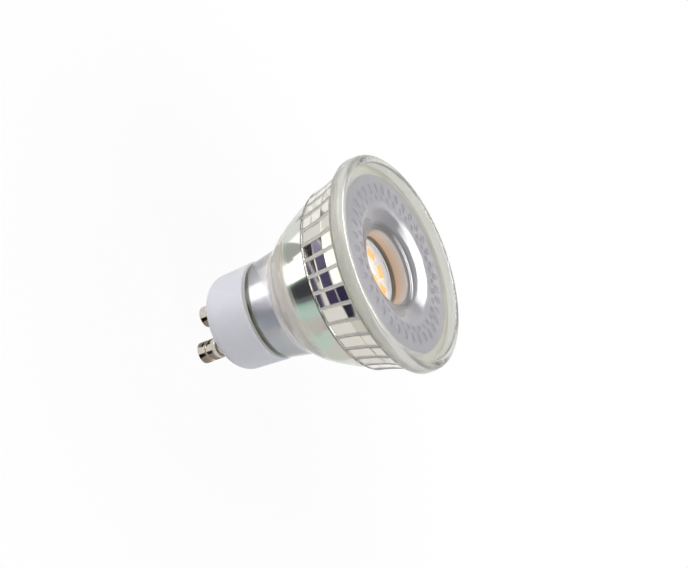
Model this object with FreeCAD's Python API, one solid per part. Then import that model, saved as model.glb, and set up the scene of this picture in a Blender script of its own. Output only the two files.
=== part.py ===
import FreeCAD, Part
import math
import os

# GU10 reflector lamp. Millimetres. Z is the lamp axis and points the way the light goes.
# Height zero is the rear face of the cap, and the two contact pins lie on the X axis.

# Whole lamp
LAMP_D = 50.0
LAMP_L = 54.0
PIN_PITCH = 10.0
PIN_LEN = 7.2
RIM_R = LAMP_D / 2
FRONT_Z = LAMP_L - PIN_LEN
FULL_TURN = 360.0
HALF = 0.5
EASE = 0.25

# Contact pins
HEAD_R = 2.5
HEAD_LEN = 5.0
HEAD_EASE = 0.3
GROOVE_FROM_TIP = 2.1
GROOVE_W = 0.8
GROOVE_DEEP = 0.35
PIN_NECK_R = 1.5
PIN_FIT = 0.02
RIVET_R = 1.9
RIVET_T = 0.5
TAIL_R = 1.1
TAIL_LEN = 0.7

# Moulded cap
CAP_H = 11.7
CAP_LIP_R = 11.7
CAP_REAR_R = 11.2
CAP_ROUND = 3.6
CAP_WALL = 1.3
CAP_FLOOR = 2.0
CAP_BORE_R = CAP_LIP_R - CAP_WALL
CAP_LEDGE_Z = 5.8
CAP_LEDGE_W = 1.5
POST_WALL = 1.0
POST_DEEP = 3.0
POST_H = 6.0
SLOT_GRIP = 0.5

# Pressed glass reflector
GLUE_GAP = 0.15
SPIGOT_GAP = 0.4
SPIGOT_R = CAP_BORE_R - GLUE_GAP
SPIGOT_WALL = 1.25
BORE_R = SPIGOT_R - SPIGOT_WALL
NECK_LOW_R = CAP_LIP_R - GLUE_GAP
NECK_EASE = 0.6
NECK_H = 7.1
NECK_FLARE = 1.1
NECK_TOP_R = NECK_LOW_R + NECK_FLARE
NECK_TOP_Z = CAP_H + NECK_H
RIB_COUNT = 36
RIB_GROOVE_DEG = 2.6
RIB_DEEP = 0.45
RIB_STEP = 0.15
RIB_LINE = 0.35
RIB_REAR_IN = 4.05
RIB_REAR_DOWN = 12.8
RIB_KINK_IN = 2.25
RIB_KINK_DOWN = 6.4
RIB_REAR_R = RIM_R - RIB_REAR_IN
RIB_REAR_Z = FRONT_Z - RIB_REAR_DOWN
RIB_KINK_R = RIM_R - RIB_KINK_IN
RIB_KINK_Z = FRONT_Z - RIB_KINK_DOWN
RIB_BULGE = 0.12
FLARE_SAG = 0.3
RIM_EDGE = 0.35
RIM_H = 3.3
RIM_REAR_Z = FRONT_Z - RIM_H
RIM_ROUND = 1.3
RIM_INNER_EASE = 0.4
GLASS_WALL = 2.2
FILLET_END = (0.145, 0.115)
BEAD_END = (0.45, 0.50)
CONE_START = (0.475, 0.545)
FILLET_SAG = 0.2
BEAD_BULGE = 0.3

# Front lens
RIM_W = 2.25
LENS_R = RIM_R - RIM_W
LENS_GAP = 0.15
LENS_DROP = 1.5
FACE_Z = FRONT_Z - LENS_DROP
FLANGE_W = 2.2
FLANGE_DROP = 0.4
FLANGE_T = 1.3
FLANGE_Z = FACE_Z - FLANGE_DROP
BOND_T = 0.3
BOND_W = 1.1
SEAT_W = 1.6
PLATE_REAR_Z = FLANGE_Z - FLANGE_T
SEAT_Z = PLATE_REAR_Z - BOND_T
THROAT_R = 8.3
THROAT_DRAFT = 0.3
THROAT_DEEP = 3.9
LIP_W = 1.0
LIP_DROP = 0.7
LIP_SAG = 0.2
DISH_W = 4.8
DISH_DEEP = 2.1
DISH_SAG = 0.2
LIP_R = THROAT_R + THROAT_DRAFT + LIP_W
LIP_Z = FACE_Z - DISH_DEEP
DISH_R = LIP_R + DISH_W
THROAT_TOP_Z = LIP_Z - LIP_DROP
THROAT_FLOOR_Z = THROAT_TOP_Z - THROAT_DEEP
LENS_FLOOR_T = 0.6
OPTIC_WALL = 1.4
OPTIC_TOP_W = 3.8
DIMPLE_COUNT = 36
DIMPLE_OUTER_R = 17.3
DIMPLE_INNER_R = 15.2
DIMPLE_R = 0.65
DIMPLE_SIDES = 6
DIMPLE_DEEP = 0.4

# Light source
CHIP_LONG = 3.5
CHIP_WIDE = 2.8
CHIP_T = 0.7
OUTER_CHIPS = 8
OUTER_CHIP_R = 6.0
OUTER_CHIP_DEG = 35.0
INNER_CHIPS = 3
INNER_CHIP_R = 2.7
INNER_CHIP_DEG = 85.0
CHIP_CLEAR = 0.5
BOARD_T = 1.0
LED_TOP_Z = THROAT_FLOOR_Z - LENS_FLOOR_T - CHIP_CLEAR - CHIP_T
LED_BOARD_R = 10.6
PAD_T = 0.2
PAD_Z = LED_TOP_Z - BOARD_T - PAD_T

# Aluminium heat sink cup and its insulating sleeve
SINK_FIT = 0.1
SINK_WALL = 0.8
SINK_TOP_T = 1.4
SINK_R = BORE_R - SINK_FIT
SINK_INNER_R = SINK_R - SINK_WALL
LEDGE_W = 1.2
LEDGE_UP = 5.6
LEDGE_Z = CAP_H + LEDGE_UP
LEDGE_RISE = 1.3
SINK_FLANGE_T = 0.8
SKIRT_LEN = 5.8
SKIRT_Z = LEDGE_Z - SKIRT_LEN
SINK_HEAD_R = LED_BOARD_R + BOARD_T
SINK_HEAD_H = 3.6
SINK_CONE_H = 7.0
SLEEVE_T = 0.3
SLEEVE_FIT = 0.05
SLEEVE_FLANGE_T = 0.6
SLEEVE_R = SINK_INNER_R - SLEEVE_FIT
SLEEVE_IN_R = SLEEVE_R - SLEEVE_T

# Driver board and its parts
WIRE_R = 0.4
WIRE_HOLE_R = 0.6
TOUCH = 0.05
PCB_T = 1.0
PCB_SIDE_GAP = 0.15
PCB_UP = 2.8
PCB_HEADROOM = 6.2
PCB_HALF = SLEEVE_IN_R - PCB_SIDE_GAP
PCB_Z = CAP_FLOOR + PCB_UP
PCB_TOP_Z = PAD_Z - SINK_TOP_T - PCB_HEADROOM
PCB_FACE = PCB_T * HALF
PCB_LEN = PCB_TOP_Z - PCB_Z
SLOT_FIT = 0.1
CAN_R = 3.1
CAN_H = 9.0
CAN_X = 2.2
CAN_Z = PCB_Z + PCB_LEN * 0.46
CAN_BEAD = 0.25
CAN_BEAD_Z = 1.2
DRUM_R = 2.8
DRUM_H = 6.0
DRUM_X = -2.0
DRUM_UP = 2.2
DRUM_Z = PCB_Z + DRUM_UP
DRUM_FLANGE_T = 0.8
DRUM_CORE_R = 1.4
WINDING_R = 2.45
BRIDGE_W = 4.7
BRIDGE_T = 1.6
BRIDGE_H = 3.9
BRIDGE_X = -3.4
BRIDGE_Z = PCB_Z + PCB_LEN * 0.13
BRIDGE_LEGS = 2
CHIP_IC_W = 4.9
CHIP_IC_T = 1.5
CHIP_IC_H = 3.9
CHIP_IC_X = -2.6
CHIP_IC_Z = PCB_Z + PCB_LEN * 0.46
CHIP_IC_LEGS = 4
LEG_W = 0.4
LEG_OUT = 0.9
LEG_T = 0.2
FILM_W = 7.2
FILM_T = 3.0
FILM_H = PCB_LEN * 0.25
FILM_EDGE = 0.6
FILM_X = -0.4
FILM_Z = PCB_TOP_Z - FILM_EDGE - FILM_H
FILM_EASE = 0.5
FUSE_R = 1.3
FUSE_CAP_R = 1.45
FUSE_CAP_L = 1.2
FUSE_L = PCB_LEN * 0.29
FUSE_X = 3.4
FUSE_Z = PCB_Z + PCB_LEN * 0.14
LEAD_R = 0.3
LEAD_OUT = 1.0
SMD_W = 3.2
SMD_T = 0.6
SMD_H = 1.6
SMD_X = 3.6
SMD_SHARES = (0.53, 0.62)
LED_WIRE_IN = 1.7
PCB_PAD_IN = 1.0
LED_WIRE_R_POS = LED_BOARD_R - LED_WIRE_IN
LED_WIRE_X = PCB_HALF - PCB_PAD_IN
LED_WIRE_GRIP = 3.4
LED_WIRE_RISE = 1.0
SOLDER_R = 0.8
MAINS_SIDE = 1.5
MAINS_GRIP = 2.0

V = FreeCAD.Vector
ORIGIN = V(0, 0, 0)
AXIS = V(0, 0, 1)


def at(point):
    return V(point[0], 0, point[1])


def arc(start, end, sag):
    """Arc from start to end whose middle lies sag to the left of the chord."""
    dr = end[0] - start[0]
    dz = end[1] - start[1]
    chord = math.hypot(dr, dz)
    middle = (
        (start[0] + end[0]) * HALF - dz / chord * sag,
        (start[1] + end[1]) * HALF + dr / chord * sag,
    )
    return (middle, end)


def quarter_sag(radius):
    return radius * (1 - math.sqrt(HALF))


def profile_face(start, *steps):
    """Face in the XZ plane from (radius, height) points; a pair of points is an arc."""
    edges = []
    here = start
    for step in steps + (start,):
        if isinstance(step[0], tuple):
            middle, there = step
            edges.append(Part.Arc(at(here), at(middle), at(there)).toShape())
        else:
            there = step
            edges.append(Part.makeLine(at(here), at(there)))
        here = there
    return Part.Face(Part.Wire(edges))


def turned(start, *steps):
    return profile_face(start, *steps).revolve(ORIGIN, AXIS, FULL_TURN)


def block(size, centre_x, near_y, low_z, side):
    """Box whose near face stands near_y off the board's middle, on the side given."""
    width, depth, height = size
    y = near_y if side > 0 else -near_y - depth
    return Part.makeBox(width, depth, height, V(centre_x - width * HALF, y, low_z))


def round_wire(points, radius):
    """Round wire along straight runs with mitred bends."""
    path = Part.makePolygon(points)
    section = Part.Wire(Part.makeCircle(radius, points[0], points[1].sub(points[0])))
    return path.makePipeShell([section], True, False, 1)


def spread(shape, count, start_deg):
    """Copies of a shape turned about the lamp axis at equal steps."""
    copies = []
    for i in range(count):
        copy = shape.copy()
        copy.rotate(ORIGIN, AXIS, start_deg + i * FULL_TURN / count)
        copies.append(copy)
    return copies


def save(shape, node):
    shape.exportStep("parts/" + node + ".step")


def shoulder(fraction):
    """Point on the glass shoulder, as fractions of its height and of its widening."""
    up, out = fraction
    return (
        NECK_TOP_R + out * (RIB_REAR_R - NECK_TOP_R),
        NECK_TOP_Z + up * (RIB_REAR_Z - NECK_TOP_Z),
    )


def base_cap():
    low = (CAP_REAR_R - CAP_ROUND, 0)
    side = (CAP_REAR_R, CAP_ROUND)
    ledge_r = CAP_BORE_R - CAP_LEDGE_W
    cap = turned(
        (0, 0),
        low,
        arc(low, side, -quarter_sag(CAP_ROUND)),
        (CAP_LIP_R, CAP_H - EASE),
        (CAP_LIP_R - EASE, CAP_H),
        (CAP_BORE_R, CAP_H),
        (CAP_BORE_R, CAP_LEDGE_Z),
        (ledge_r, CAP_LEDGE_Z),
        (ledge_r, CAP_FLOOR),
        (0, CAP_FLOOR),
    )
    for side_x in (-1, 1):
        cap = cap.fuse(board_post(side_x, ledge_r))
    for side_x in (-1, 1):
        hole_at = V(side_x * PIN_PITCH * HALF, 0, 0)
        cap = cap.cut(Part.makeCylinder(PIN_NECK_R + PIN_FIT, CAP_FLOOR, hole_at))
    return cap.removeSplitter()


def board_post(side_x, ledge_r):
    """Moulded post with a slot that holds one edge of the driver board."""
    inner_x = PCB_HALF - SLOT_GRIP
    outer_x = PCB_HALF + SLOT_FIT + POST_WALL
    slot_w = PCB_T + 2 * SLOT_FIT
    post = Part.makeBox(outer_x - inner_x, POST_DEEP, POST_H, V(inner_x, -POST_DEEP * HALF, CAP_FLOOR))
    slot = Part.makeBox(
        SLOT_GRIP + SLOT_FIT, slot_w, POST_H, V(inner_x, -slot_w * HALF, PCB_Z)
    )
    post = post.cut(slot)
    post = post.common(Part.makeCylinder(ledge_r, POST_H, V(0, 0, CAP_FLOOR)))
    if side_x < 0:
        post.rotate(ORIGIN, AXIS, FULL_TURN * HALF)
    return post


def contact_pin(side_x):
    groove_z = GROOVE_FROM_TIP - PIN_LEN
    neck_z = HEAD_LEN - PIN_LEN
    tail_z = CAP_FLOOR + RIVET_T
    pin = turned(
        (0, -PIN_LEN),
        (HEAD_R - HEAD_EASE, -PIN_LEN),
        (HEAD_R, HEAD_EASE - PIN_LEN),
        (HEAD_R, groove_z),
        (HEAD_R - GROOVE_DEEP, groove_z),
        (HEAD_R - GROOVE_DEEP, groove_z + GROOVE_W),
        (HEAD_R, groove_z + GROOVE_W),
        (HEAD_R, neck_z - EASE),
        (HEAD_R - EASE, neck_z),
        (PIN_NECK_R, neck_z),
        (PIN_NECK_R, CAP_FLOOR),
        (RIVET_R, CAP_FLOOR),
        (RIVET_R, tail_z),
        (TAIL_R, tail_z),
        (TAIL_R, tail_z + TAIL_LEN),
        (WIRE_R + PIN_FIT, tail_z + TAIL_LEN),
        (WIRE_R + PIN_FIT, CAP_FLOOR),
        (0, CAP_FLOOR),
    )
    pin.translate(V(side_x * PIN_PITCH * HALF, 0, 0))
    return pin


def rib_groove():
    """One groove between ribs: follows the band and runs up the flare under the rim."""
    start = (RIB_REAR_R + RIB_STEP - RIB_DEEP, RIB_REAR_Z + RIB_LINE)
    kink = (RIB_KINK_R - RIB_DEEP, RIB_KINK_Z)
    end = (RIM_R - RIM_EDGE - RIB_DEEP, RIM_REAR_Z)
    beyond = RIM_R + RIB_DEEP
    face = profile_face(
        start,
        arc(start, kink, -RIB_BULGE),
        arc(kink, end, FLARE_SAG),
        (beyond, end[1]),
        (beyond, start[1]),
    )
    face.rotate(ORIGIN, AXIS, -RIB_GROOVE_DEG * HALF)
    return face.revolve(ORIGIN, AXIS, RIB_GROOVE_DEG)


def glass_reflector():
    spigot_z = CAP_LEDGE_Z + SPIGOT_GAP
    neck_top = (NECK_TOP_R, NECK_TOP_Z)
    fillet_end = shoulder(FILLET_END)
    bead_end = shoulder(BEAD_END)
    rib_rear = (RIB_REAR_R + RIB_STEP, RIB_REAR_Z)
    kink = (RIB_KINK_R, RIB_KINK_Z)
    rim_rear = (RIM_R - RIM_EDGE, RIM_REAR_Z)
    rim_front = (RIM_R, FRONT_Z - RIM_ROUND)
    rim_top = (RIM_R - RIM_ROUND, FRONT_Z)
    seat_r = LENS_R + LENS_GAP
    ledge_r = BORE_R + LEDGE_W
    glass = turned(
        (BORE_R, spigot_z),
        (SPIGOT_R, spigot_z),
        (SPIGOT_R, CAP_H),
        (NECK_LOW_R - NECK_EASE, CAP_H),
        (NECK_LOW_R, CAP_H + NECK_EASE),
        neck_top,
        arc(neck_top, fillet_end, FILLET_SAG),
        arc(fillet_end, bead_end, -BEAD_BULGE),
        shoulder(CONE_START),
        (RIB_REAR_R, RIB_REAR_Z),
        rib_rear,
        arc(rib_rear, kink, -RIB_BULGE),
        arc(kink, rim_rear, FLARE_SAG),
        (RIM_R, RIM_REAR_Z + RIM_EDGE),
        rim_front,
        arc(rim_front, rim_top, -quarter_sag(RIM_ROUND)),
        (seat_r + RIM_INNER_EASE, FRONT_Z),
        (seat_r, FRONT_Z - RIM_INNER_EASE),
        (seat_r, SEAT_Z),
        (seat_r - SEAT_W, SEAT_Z),
        (RIB_KINK_R - GLASS_WALL, RIB_KINK_Z),
        (RIB_REAR_R - GLASS_WALL, RIB_REAR_Z),
        (bead_end[0] - GLASS_WALL, bead_end[1]),
        (fillet_end[0] - GLASS_WALL, fillet_end[1]),
        (ledge_r, LEDGE_Z + LEDGE_RISE),
        (ledge_r, LEDGE_Z),
        (BORE_R, LEDGE_Z),
    )
    return glass.cut(spread(rib_groove(), RIB_COUNT, 0))


def lens_bond():
    outer = LENS_R - LENS_GAP
    inner = outer - BOND_W
    return turned((inner, SEAT_Z), (outer, SEAT_Z), (outer, PLATE_REAR_Z), (inner, PLATE_REAR_Z))


def front_lens():
    throat_top = (THROAT_R + THROAT_DRAFT, THROAT_TOP_Z)
    lip = (LIP_R, LIP_Z)
    dish_edge = (DISH_R, FACE_Z)
    zone_r = LENS_R - FLANGE_W
    floor_z = THROAT_FLOOR_Z - LENS_FLOOR_T
    lens = turned(
        (0, floor_z),
        (THROAT_R + OPTIC_WALL, floor_z),
        (LIP_R + OPTIC_TOP_W, PLATE_REAR_Z),
        (LENS_R, PLATE_REAR_Z),
        (LENS_R, FLANGE_Z),
        (zone_r + EASE, FLANGE_Z),
        (zone_r, FACE_Z),
        dish_edge,
        arc(dish_edge, lip, -DISH_SAG),
        arc(lip, throat_top, -LIP_SAG),
        (THROAT_R, THROAT_FLOOR_Z),
        (0, THROAT_FLOOR_Z),
    )
    half_step = FULL_TURN / DIMPLE_COUNT * HALF
    outer = spread(dimple(DIMPLE_OUTER_R), DIMPLE_COUNT, 0)
    inner = spread(dimple(DIMPLE_INNER_R), DIMPLE_COUNT, half_step)
    return lens.cut(outer + inner)


def dimple(radius):
    """Six-sided point that presses one facetted dimple into the lens face."""
    tip = V(radius, 0, FACE_Z - DIMPLE_DEEP)
    mouth_z = FACE_Z + DIMPLE_DEEP
    corners = []
    for i in range(DIMPLE_SIDES):
        turn = 2 * math.pi * i / DIMPLE_SIDES
        corners.append(V(radius + 2 * DIMPLE_R * math.cos(turn), 2 * DIMPLE_R * math.sin(turn), mouth_z))
    ring = corners + corners[:1]
    faces = [Part.Face(Part.makePolygon(ring))]
    for a, b in zip(ring, ring[1:]):
        faces.append(Part.Face(Part.makePolygon([a, b, tip, a])))
    return Part.Solid(Part.Shell(faces))


def drilled_disc(radius, low_z, thick, hole_r):
    disc = Part.makeCylinder(radius, thick, V(0, 0, low_z))
    for side_x in (-1, 1):
        disc = disc.cut(Part.makeCylinder(hole_r, thick, V(side_x * LED_WIRE_R_POS, 0, low_z)))
    return disc


def led_chip(radius, turn_deg):
    chip = Part.makeBox(
        CHIP_WIDE, CHIP_LONG, CHIP_T, V(radius - CHIP_WIDE * HALF, -CHIP_LONG * HALF, LED_TOP_Z)
    )
    chip.rotate(ORIGIN, AXIS, turn_deg)
    return chip


def heat_sink():
    head_z = PAD_Z - SINK_HEAD_H
    neck_z = head_z - SINK_CONE_H
    inside_r = SINK_HEAD_R - SINK_WALL
    plate_z = PAD_Z - SINK_TOP_T
    flange_r = BORE_R + LEDGE_W - SINK_FIT
    cup = turned(
        (SINK_INNER_R, SKIRT_Z),
        (SINK_R, SKIRT_Z),
        (SINK_R, LEDGE_Z),
        (flange_r, LEDGE_Z),
        (flange_r, LEDGE_Z + SINK_FLANGE_T),
        (SINK_R, LEDGE_Z + SINK_FLANGE_T),
        (SINK_R, neck_z),
        (SINK_HEAD_R, head_z),
        (SINK_HEAD_R, PAD_Z),
        (0, PAD_Z),
        (0, plate_z),
        (inside_r, plate_z),
        (inside_r, head_z),
        (SINK_INNER_R, neck_z),
    )
    for side_x in (-1, 1):
        hole_at = V(side_x * LED_WIRE_R_POS, 0, plate_z)
        cup = cup.cut(Part.makeCylinder(WIRE_HOLE_R + WIRE_R, SINK_TOP_T, hole_at))
    return cup


def insulating_sleeve():
    top_z = PAD_Z - SINK_HEAD_H - SINK_CONE_H
    flange_z = SKIRT_Z - SLEEVE_FLANGE_T
    return turned(
        (SLEEVE_IN_R, flange_z),
        (SINK_R, flange_z),
        (SINK_R, SKIRT_Z),
        (SLEEVE_R, SKIRT_Z),
        (SLEEVE_R, top_z),
        (SLEEVE_IN_R, top_z),
    )


def driver_board():
    return Part.makeBox(2 * PCB_HALF, PCB_T, PCB_LEN, V(-PCB_HALF, -PCB_FACE, PCB_Z))


def electrolytic_capacitor():
    can = turned(
        (0, 0),
        (CAN_R, 0),
        (CAN_R, CAN_BEAD_Z - CAN_BEAD),
        (CAN_R - CAN_BEAD, CAN_BEAD_Z),
        (CAN_R, CAN_BEAD_Z + CAN_BEAD),
        (CAN_R, CAN_H - CAN_BEAD),
        (CAN_R - CAN_BEAD, CAN_H),
        (0, CAN_H),
    )
    can.translate(V(CAN_X, PCB_FACE + TOUCH + CAN_R, CAN_Z))
    return can


def drum_place():
    return V(DRUM_X, PCB_FACE + TOUCH + DRUM_R, DRUM_Z)


def inductor_core():
    top = DRUM_H - DRUM_FLANGE_T
    core = turned(
        (0, 0),
        (DRUM_R, 0),
        (DRUM_R, DRUM_FLANGE_T),
        (DRUM_CORE_R, DRUM_FLANGE_T),
        (DRUM_CORE_R, top),
        (DRUM_R, top),
        (DRUM_R, DRUM_H),
        (0, DRUM_H),
    )
    core.translate(drum_place())
    return core


def inductor_winding():
    inner = DRUM_CORE_R + PIN_FIT
    low = DRUM_FLANGE_T + PIN_FIT
    top = DRUM_H - DRUM_FLANGE_T - PIN_FIT
    winding = turned((inner, low), (WINDING_R, low), (WINDING_R, top), (inner, top))
    winding.translate(drum_place())
    return winding


def legged_chip(size, centre_x, low_z, legs):
    """Moulded chip on the rear side of the board, with flat legs left and right."""
    body = block(size, centre_x, PCB_FACE + LEG_T, low_z, -1)
    step = size[2] / legs
    pieces = []
    for i in range(legs):
        leg_z = low_z + (i + HALF) * step - LEG_W * HALF
        leg_size = (size[0] + 2 * LEG_OUT, LEG_T, LEG_W)
        pieces.append(block(leg_size, centre_x, PCB_FACE, leg_z, -1))
    return body.fuse(pieces).removeSplitter()


def film_capacitor():
    box = block((FILM_W, FILM_T, FILM_H), FILM_X, PCB_FACE + TOUCH, FILM_Z, -1)
    upright = [e for e in box.Edges if abs(e.tangentAt(e.FirstParameter).y) > HALF]
    return box.makeFillet(FILM_EASE, upright)


def fusible_resistor():
    body = turned(
        (0, 0),
        (FUSE_CAP_R, 0),
        (FUSE_CAP_R, FUSE_CAP_L),
        (FUSE_R, FUSE_CAP_L),
        (FUSE_R, FUSE_L - FUSE_CAP_L),
        (FUSE_CAP_R, FUSE_L - FUSE_CAP_L),
        (FUSE_CAP_R, FUSE_L),
        (0, FUSE_L),
    )
    y = -PCB_FACE - TOUCH - FUSE_CAP_R
    body.translate(V(FUSE_X, y, FUSE_Z))
    leads = []
    for root_z, out_z in ((FUSE_Z, FUSE_Z - LEAD_OUT), (FUSE_Z + FUSE_L, FUSE_Z + FUSE_L + LEAD_OUT)):
        path = [V(FUSE_X, y, root_z), V(FUSE_X, y, out_z), V(FUSE_X, -PCB_FACE, out_z)]
        leads.append(round_wire(path, LEAD_R))
    return body.fuse(leads).removeSplitter()


def led_lead(side_x):
    x_low = side_x * LED_WIRE_X
    x_top = side_x * LED_WIRE_R_POS
    y = PCB_FACE + WIRE_R
    path = [
        V(x_low, y, PCB_TOP_Z - LED_WIRE_GRIP),
        V(x_low, y, PCB_TOP_Z + LED_WIRE_RISE),
        V(x_top, 0, PAD_Z - SINK_TOP_T - LED_WIRE_RISE),
        V(x_top, 0, LED_TOP_Z + WIRE_R),
    ]
    dome = Part.makeSphere(SOLDER_R, V(x_top, 0, LED_TOP_Z), AXIS, 0, FULL_TURN / 4, FULL_TURN)
    return round_wire(path, WIRE_R).fuse(dome).removeSplitter()


def mains_lead(side_x):
    x = side_x * PIN_PITCH * HALF
    tail_top = CAP_FLOOR + RIVET_T + TAIL_LEN
    y = PCB_FACE + WIRE_R
    path = [
        V(x, 0, CAP_FLOOR),
        V(x, 0, tail_top + WIRE_R),
        V(x, MAINS_SIDE, tail_top + WIRE_R + LEAD_OUT),
        V(x, y, PCB_Z + MAINS_GRIP),
        V(x, y, PCB_Z + 2 * MAINS_GRIP),
    ]
    return round_wire(path, WIRE_R)


os.makedirs("parts", exist_ok=True)
save(glass_reflector(), "glass_reflector")
save(front_lens(), "front_lens")
save(lens_bond(), "lens_bond")
save(base_cap(), "base_cap")
save(drilled_disc(LED_BOARD_R, LED_TOP_Z - BOARD_T, BOARD_T, WIRE_HOLE_R), "led_board")
save(drilled_disc(LED_BOARD_R, PAD_Z, PAD_T, WIRE_HOLE_R + WIRE_R), "thermal_pad")
save(heat_sink(), "heat_sink")
save(insulating_sleeve(), "insulating_sleeve")
save(driver_board(), "driver_board")
save(electrolytic_capacitor(), "electrolytic_capacitor")
save(inductor_core(), "inductor_core")
save(inductor_winding(), "inductor_winding")
bridge = (BRIDGE_W, BRIDGE_T, BRIDGE_H)
save(legged_chip(bridge, BRIDGE_X, BRIDGE_Z, BRIDGE_LEGS), "bridge_rectifier")
chip_ic = (CHIP_IC_W, CHIP_IC_T, CHIP_IC_H)
save(legged_chip(chip_ic, CHIP_IC_X, CHIP_IC_Z, CHIP_IC_LEGS), "driver_chip")
save(film_capacitor(), "film_capacitor")
save(fusible_resistor(), "fusible_resistor")
for number, share in enumerate(SMD_SHARES, 1):
    smd_z = PCB_Z + PCB_LEN * share
    save(block((SMD_W, SMD_T, SMD_H), SMD_X, PCB_FACE, smd_z, -1), "chip_resistor_%d" % number)
for number in range(OUTER_CHIPS):
    turn = OUTER_CHIP_DEG + number * FULL_TURN / OUTER_CHIPS
    save(led_chip(OUTER_CHIP_R, turn), "led_outer_%d" % (number + 1))
for number in range(INNER_CHIPS):
    turn = INNER_CHIP_DEG + number * FULL_TURN / INNER_CHIPS
    save(led_chip(INNER_CHIP_R, turn), "led_inner_%d" % (number + 1))
for number, side in ((1, 1), (2, -1)):
    save(contact_pin(side), "contact_pin_%d" % number)
    save(mains_lead(side), "mains_lead_%d" % number)
    save(led_lead(side), "led_lead_%d" % number)
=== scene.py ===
import math

import bmesh
import bpy
from mathutils import Matrix, Vector


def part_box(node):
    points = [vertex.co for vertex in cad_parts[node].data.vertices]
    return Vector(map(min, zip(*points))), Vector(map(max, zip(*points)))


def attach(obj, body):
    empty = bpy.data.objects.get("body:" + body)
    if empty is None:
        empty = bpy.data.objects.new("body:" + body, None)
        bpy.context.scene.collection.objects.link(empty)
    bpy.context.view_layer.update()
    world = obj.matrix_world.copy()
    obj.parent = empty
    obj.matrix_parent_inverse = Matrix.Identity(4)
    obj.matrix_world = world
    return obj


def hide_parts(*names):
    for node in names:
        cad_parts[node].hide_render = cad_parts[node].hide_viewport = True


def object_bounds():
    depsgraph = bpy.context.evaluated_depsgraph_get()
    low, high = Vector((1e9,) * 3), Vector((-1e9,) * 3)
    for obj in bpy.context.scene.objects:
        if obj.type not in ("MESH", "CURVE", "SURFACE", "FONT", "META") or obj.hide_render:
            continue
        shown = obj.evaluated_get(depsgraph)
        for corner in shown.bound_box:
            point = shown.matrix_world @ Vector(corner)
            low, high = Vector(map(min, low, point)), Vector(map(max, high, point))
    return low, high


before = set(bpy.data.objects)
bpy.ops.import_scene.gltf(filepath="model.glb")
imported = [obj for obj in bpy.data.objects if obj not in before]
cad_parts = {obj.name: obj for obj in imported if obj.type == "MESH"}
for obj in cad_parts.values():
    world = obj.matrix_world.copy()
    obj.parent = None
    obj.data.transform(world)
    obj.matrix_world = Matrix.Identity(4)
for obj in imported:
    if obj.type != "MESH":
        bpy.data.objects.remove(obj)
cad_low, cad_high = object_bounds()

# Contact pins
# Two brass studs turned on a lathe, nickel plated, then riveted through the cap's floor.
# The wide head locks under the holder's springs, and a turned groove runs round it.
MM = 0.001


def span(node_name):
    """Lowest and highest corner of a CAD node, in millimetres."""
    low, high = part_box(node_name)
    return low / MM, high / MM


def linear(code):
    """Linear colour from an sRGB hex code."""
    parts = [int(code[i : i + 2], 16) / 255 for i in (1, 3, 5)]
    return tuple(c / 12.92 if c <= 0.04045 else ((c + 0.055) / 1.055) ** 2.4 for c in parts) + (1.0,)


def node(tree, kind, inputs=None, **settings):
    """Adds a node, sets its properties, and links or sets its inputs."""
    made = tree.nodes.new(kind)
    for key, value in settings.items():
        setattr(made, key, value)
    for key, value in (inputs or {}).items():
        if isinstance(value, bpy.types.NodeSocket):
            tree.links.new(value, made.inputs[key])
        else:
            made.inputs[key].default_value = value
    return made


def finish_named(name):
    """A new material's tree, emptied, with its output node."""
    material = bpy.data.materials.new(name)
    material.use_nodes = True
    material.node_tree.nodes.clear()
    return material, material.node_tree, material.node_tree.nodes.new("ShaderNodeOutputMaterial")


def noise(tree, vector, size_mm, detail=2):
    """Noise with grains of this size along a vector output."""
    inputs = {"Vector": vector, "Scale": 1 / (size_mm * MM), "Detail": detail}
    return node(tree, "ShaderNodeTexNoise", inputs).outputs["Fac"]


def eased(corners, steps=5):
    """Closed outline of (radius, height) points; a third number rounds that corner."""
    outline = []
    for i, corner in enumerate(corners):
        here = Vector(corner[:2])
        if len(corner) < 3:
            outline.append(tuple(here))
            continue
        before = Vector(corners[i - 1][:2]) - here
        after = Vector(corners[(i + 1) % len(corners)][:2]) - here
        half = before.angle(after) / 2
        reach = corner[2] / math.tan(half)
        centre = here + (before.normalized() + after.normalized()).normalized() * corner[2] / math.sin(half)
        start = here + before.normalized() * reach - centre
        end = here + after.normalized() * reach - centre
        sweep = start.angle_signed(end)
        for k in range(steps + 1):
            point = centre + Matrix.Rotation(-sweep * k / steps, 2) @ start
            outline.append(tuple(point))
    return outline


def turned(name, outline, turns, centre=(0, 0), marks=None):
    """Turns a closed outline in millimetres about an upright axis; marks are named point weights."""
    mesh = bpy.data.meshes.new(name)
    points = []
    rings = []
    for radius, height in outline:
        count = turns if radius > 1e-6 else 1
        rings.append(range(len(points), len(points) + count))
        for k in range(count):
            angle = 2 * math.pi * k / turns
            x = centre[0] + radius * math.cos(angle)
            y = centre[1] + radius * math.sin(angle)
            points.append((x * MM, y * MM, height * MM))
    faces = []
    for i, low in enumerate(rings):
        top = rings[(i + 1) % len(rings)]
        for k in range(turns):
            a, b = low[k % len(low)], low[(k + 1) % len(low)]
            c, d = top[(k + 1) % len(top)], top[k % len(top)]
            corner_list = list(dict.fromkeys((a, b, c, d)))
            if len(corner_list) > 2:
                faces.append(corner_list)
    mesh.from_pydata(points, [], faces)
    for mark, weights in (marks or {}).items():
        values = [w for w, ring in zip(weights, rings) for _ in ring]
        mesh.attributes.new(mark, "FLOAT", "POINT").data.foreach_set("value", values)
    whole = bmesh.new()
    whole.from_mesh(mesh)
    bmesh.ops.recalc_face_normals(whole, faces=whole.faces)
    whole.to_mesh(mesh)
    whole.free()
    piece = bpy.data.objects.new(name, mesh)
    bpy.context.scene.collection.objects.link(piece)
    return piece


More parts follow.
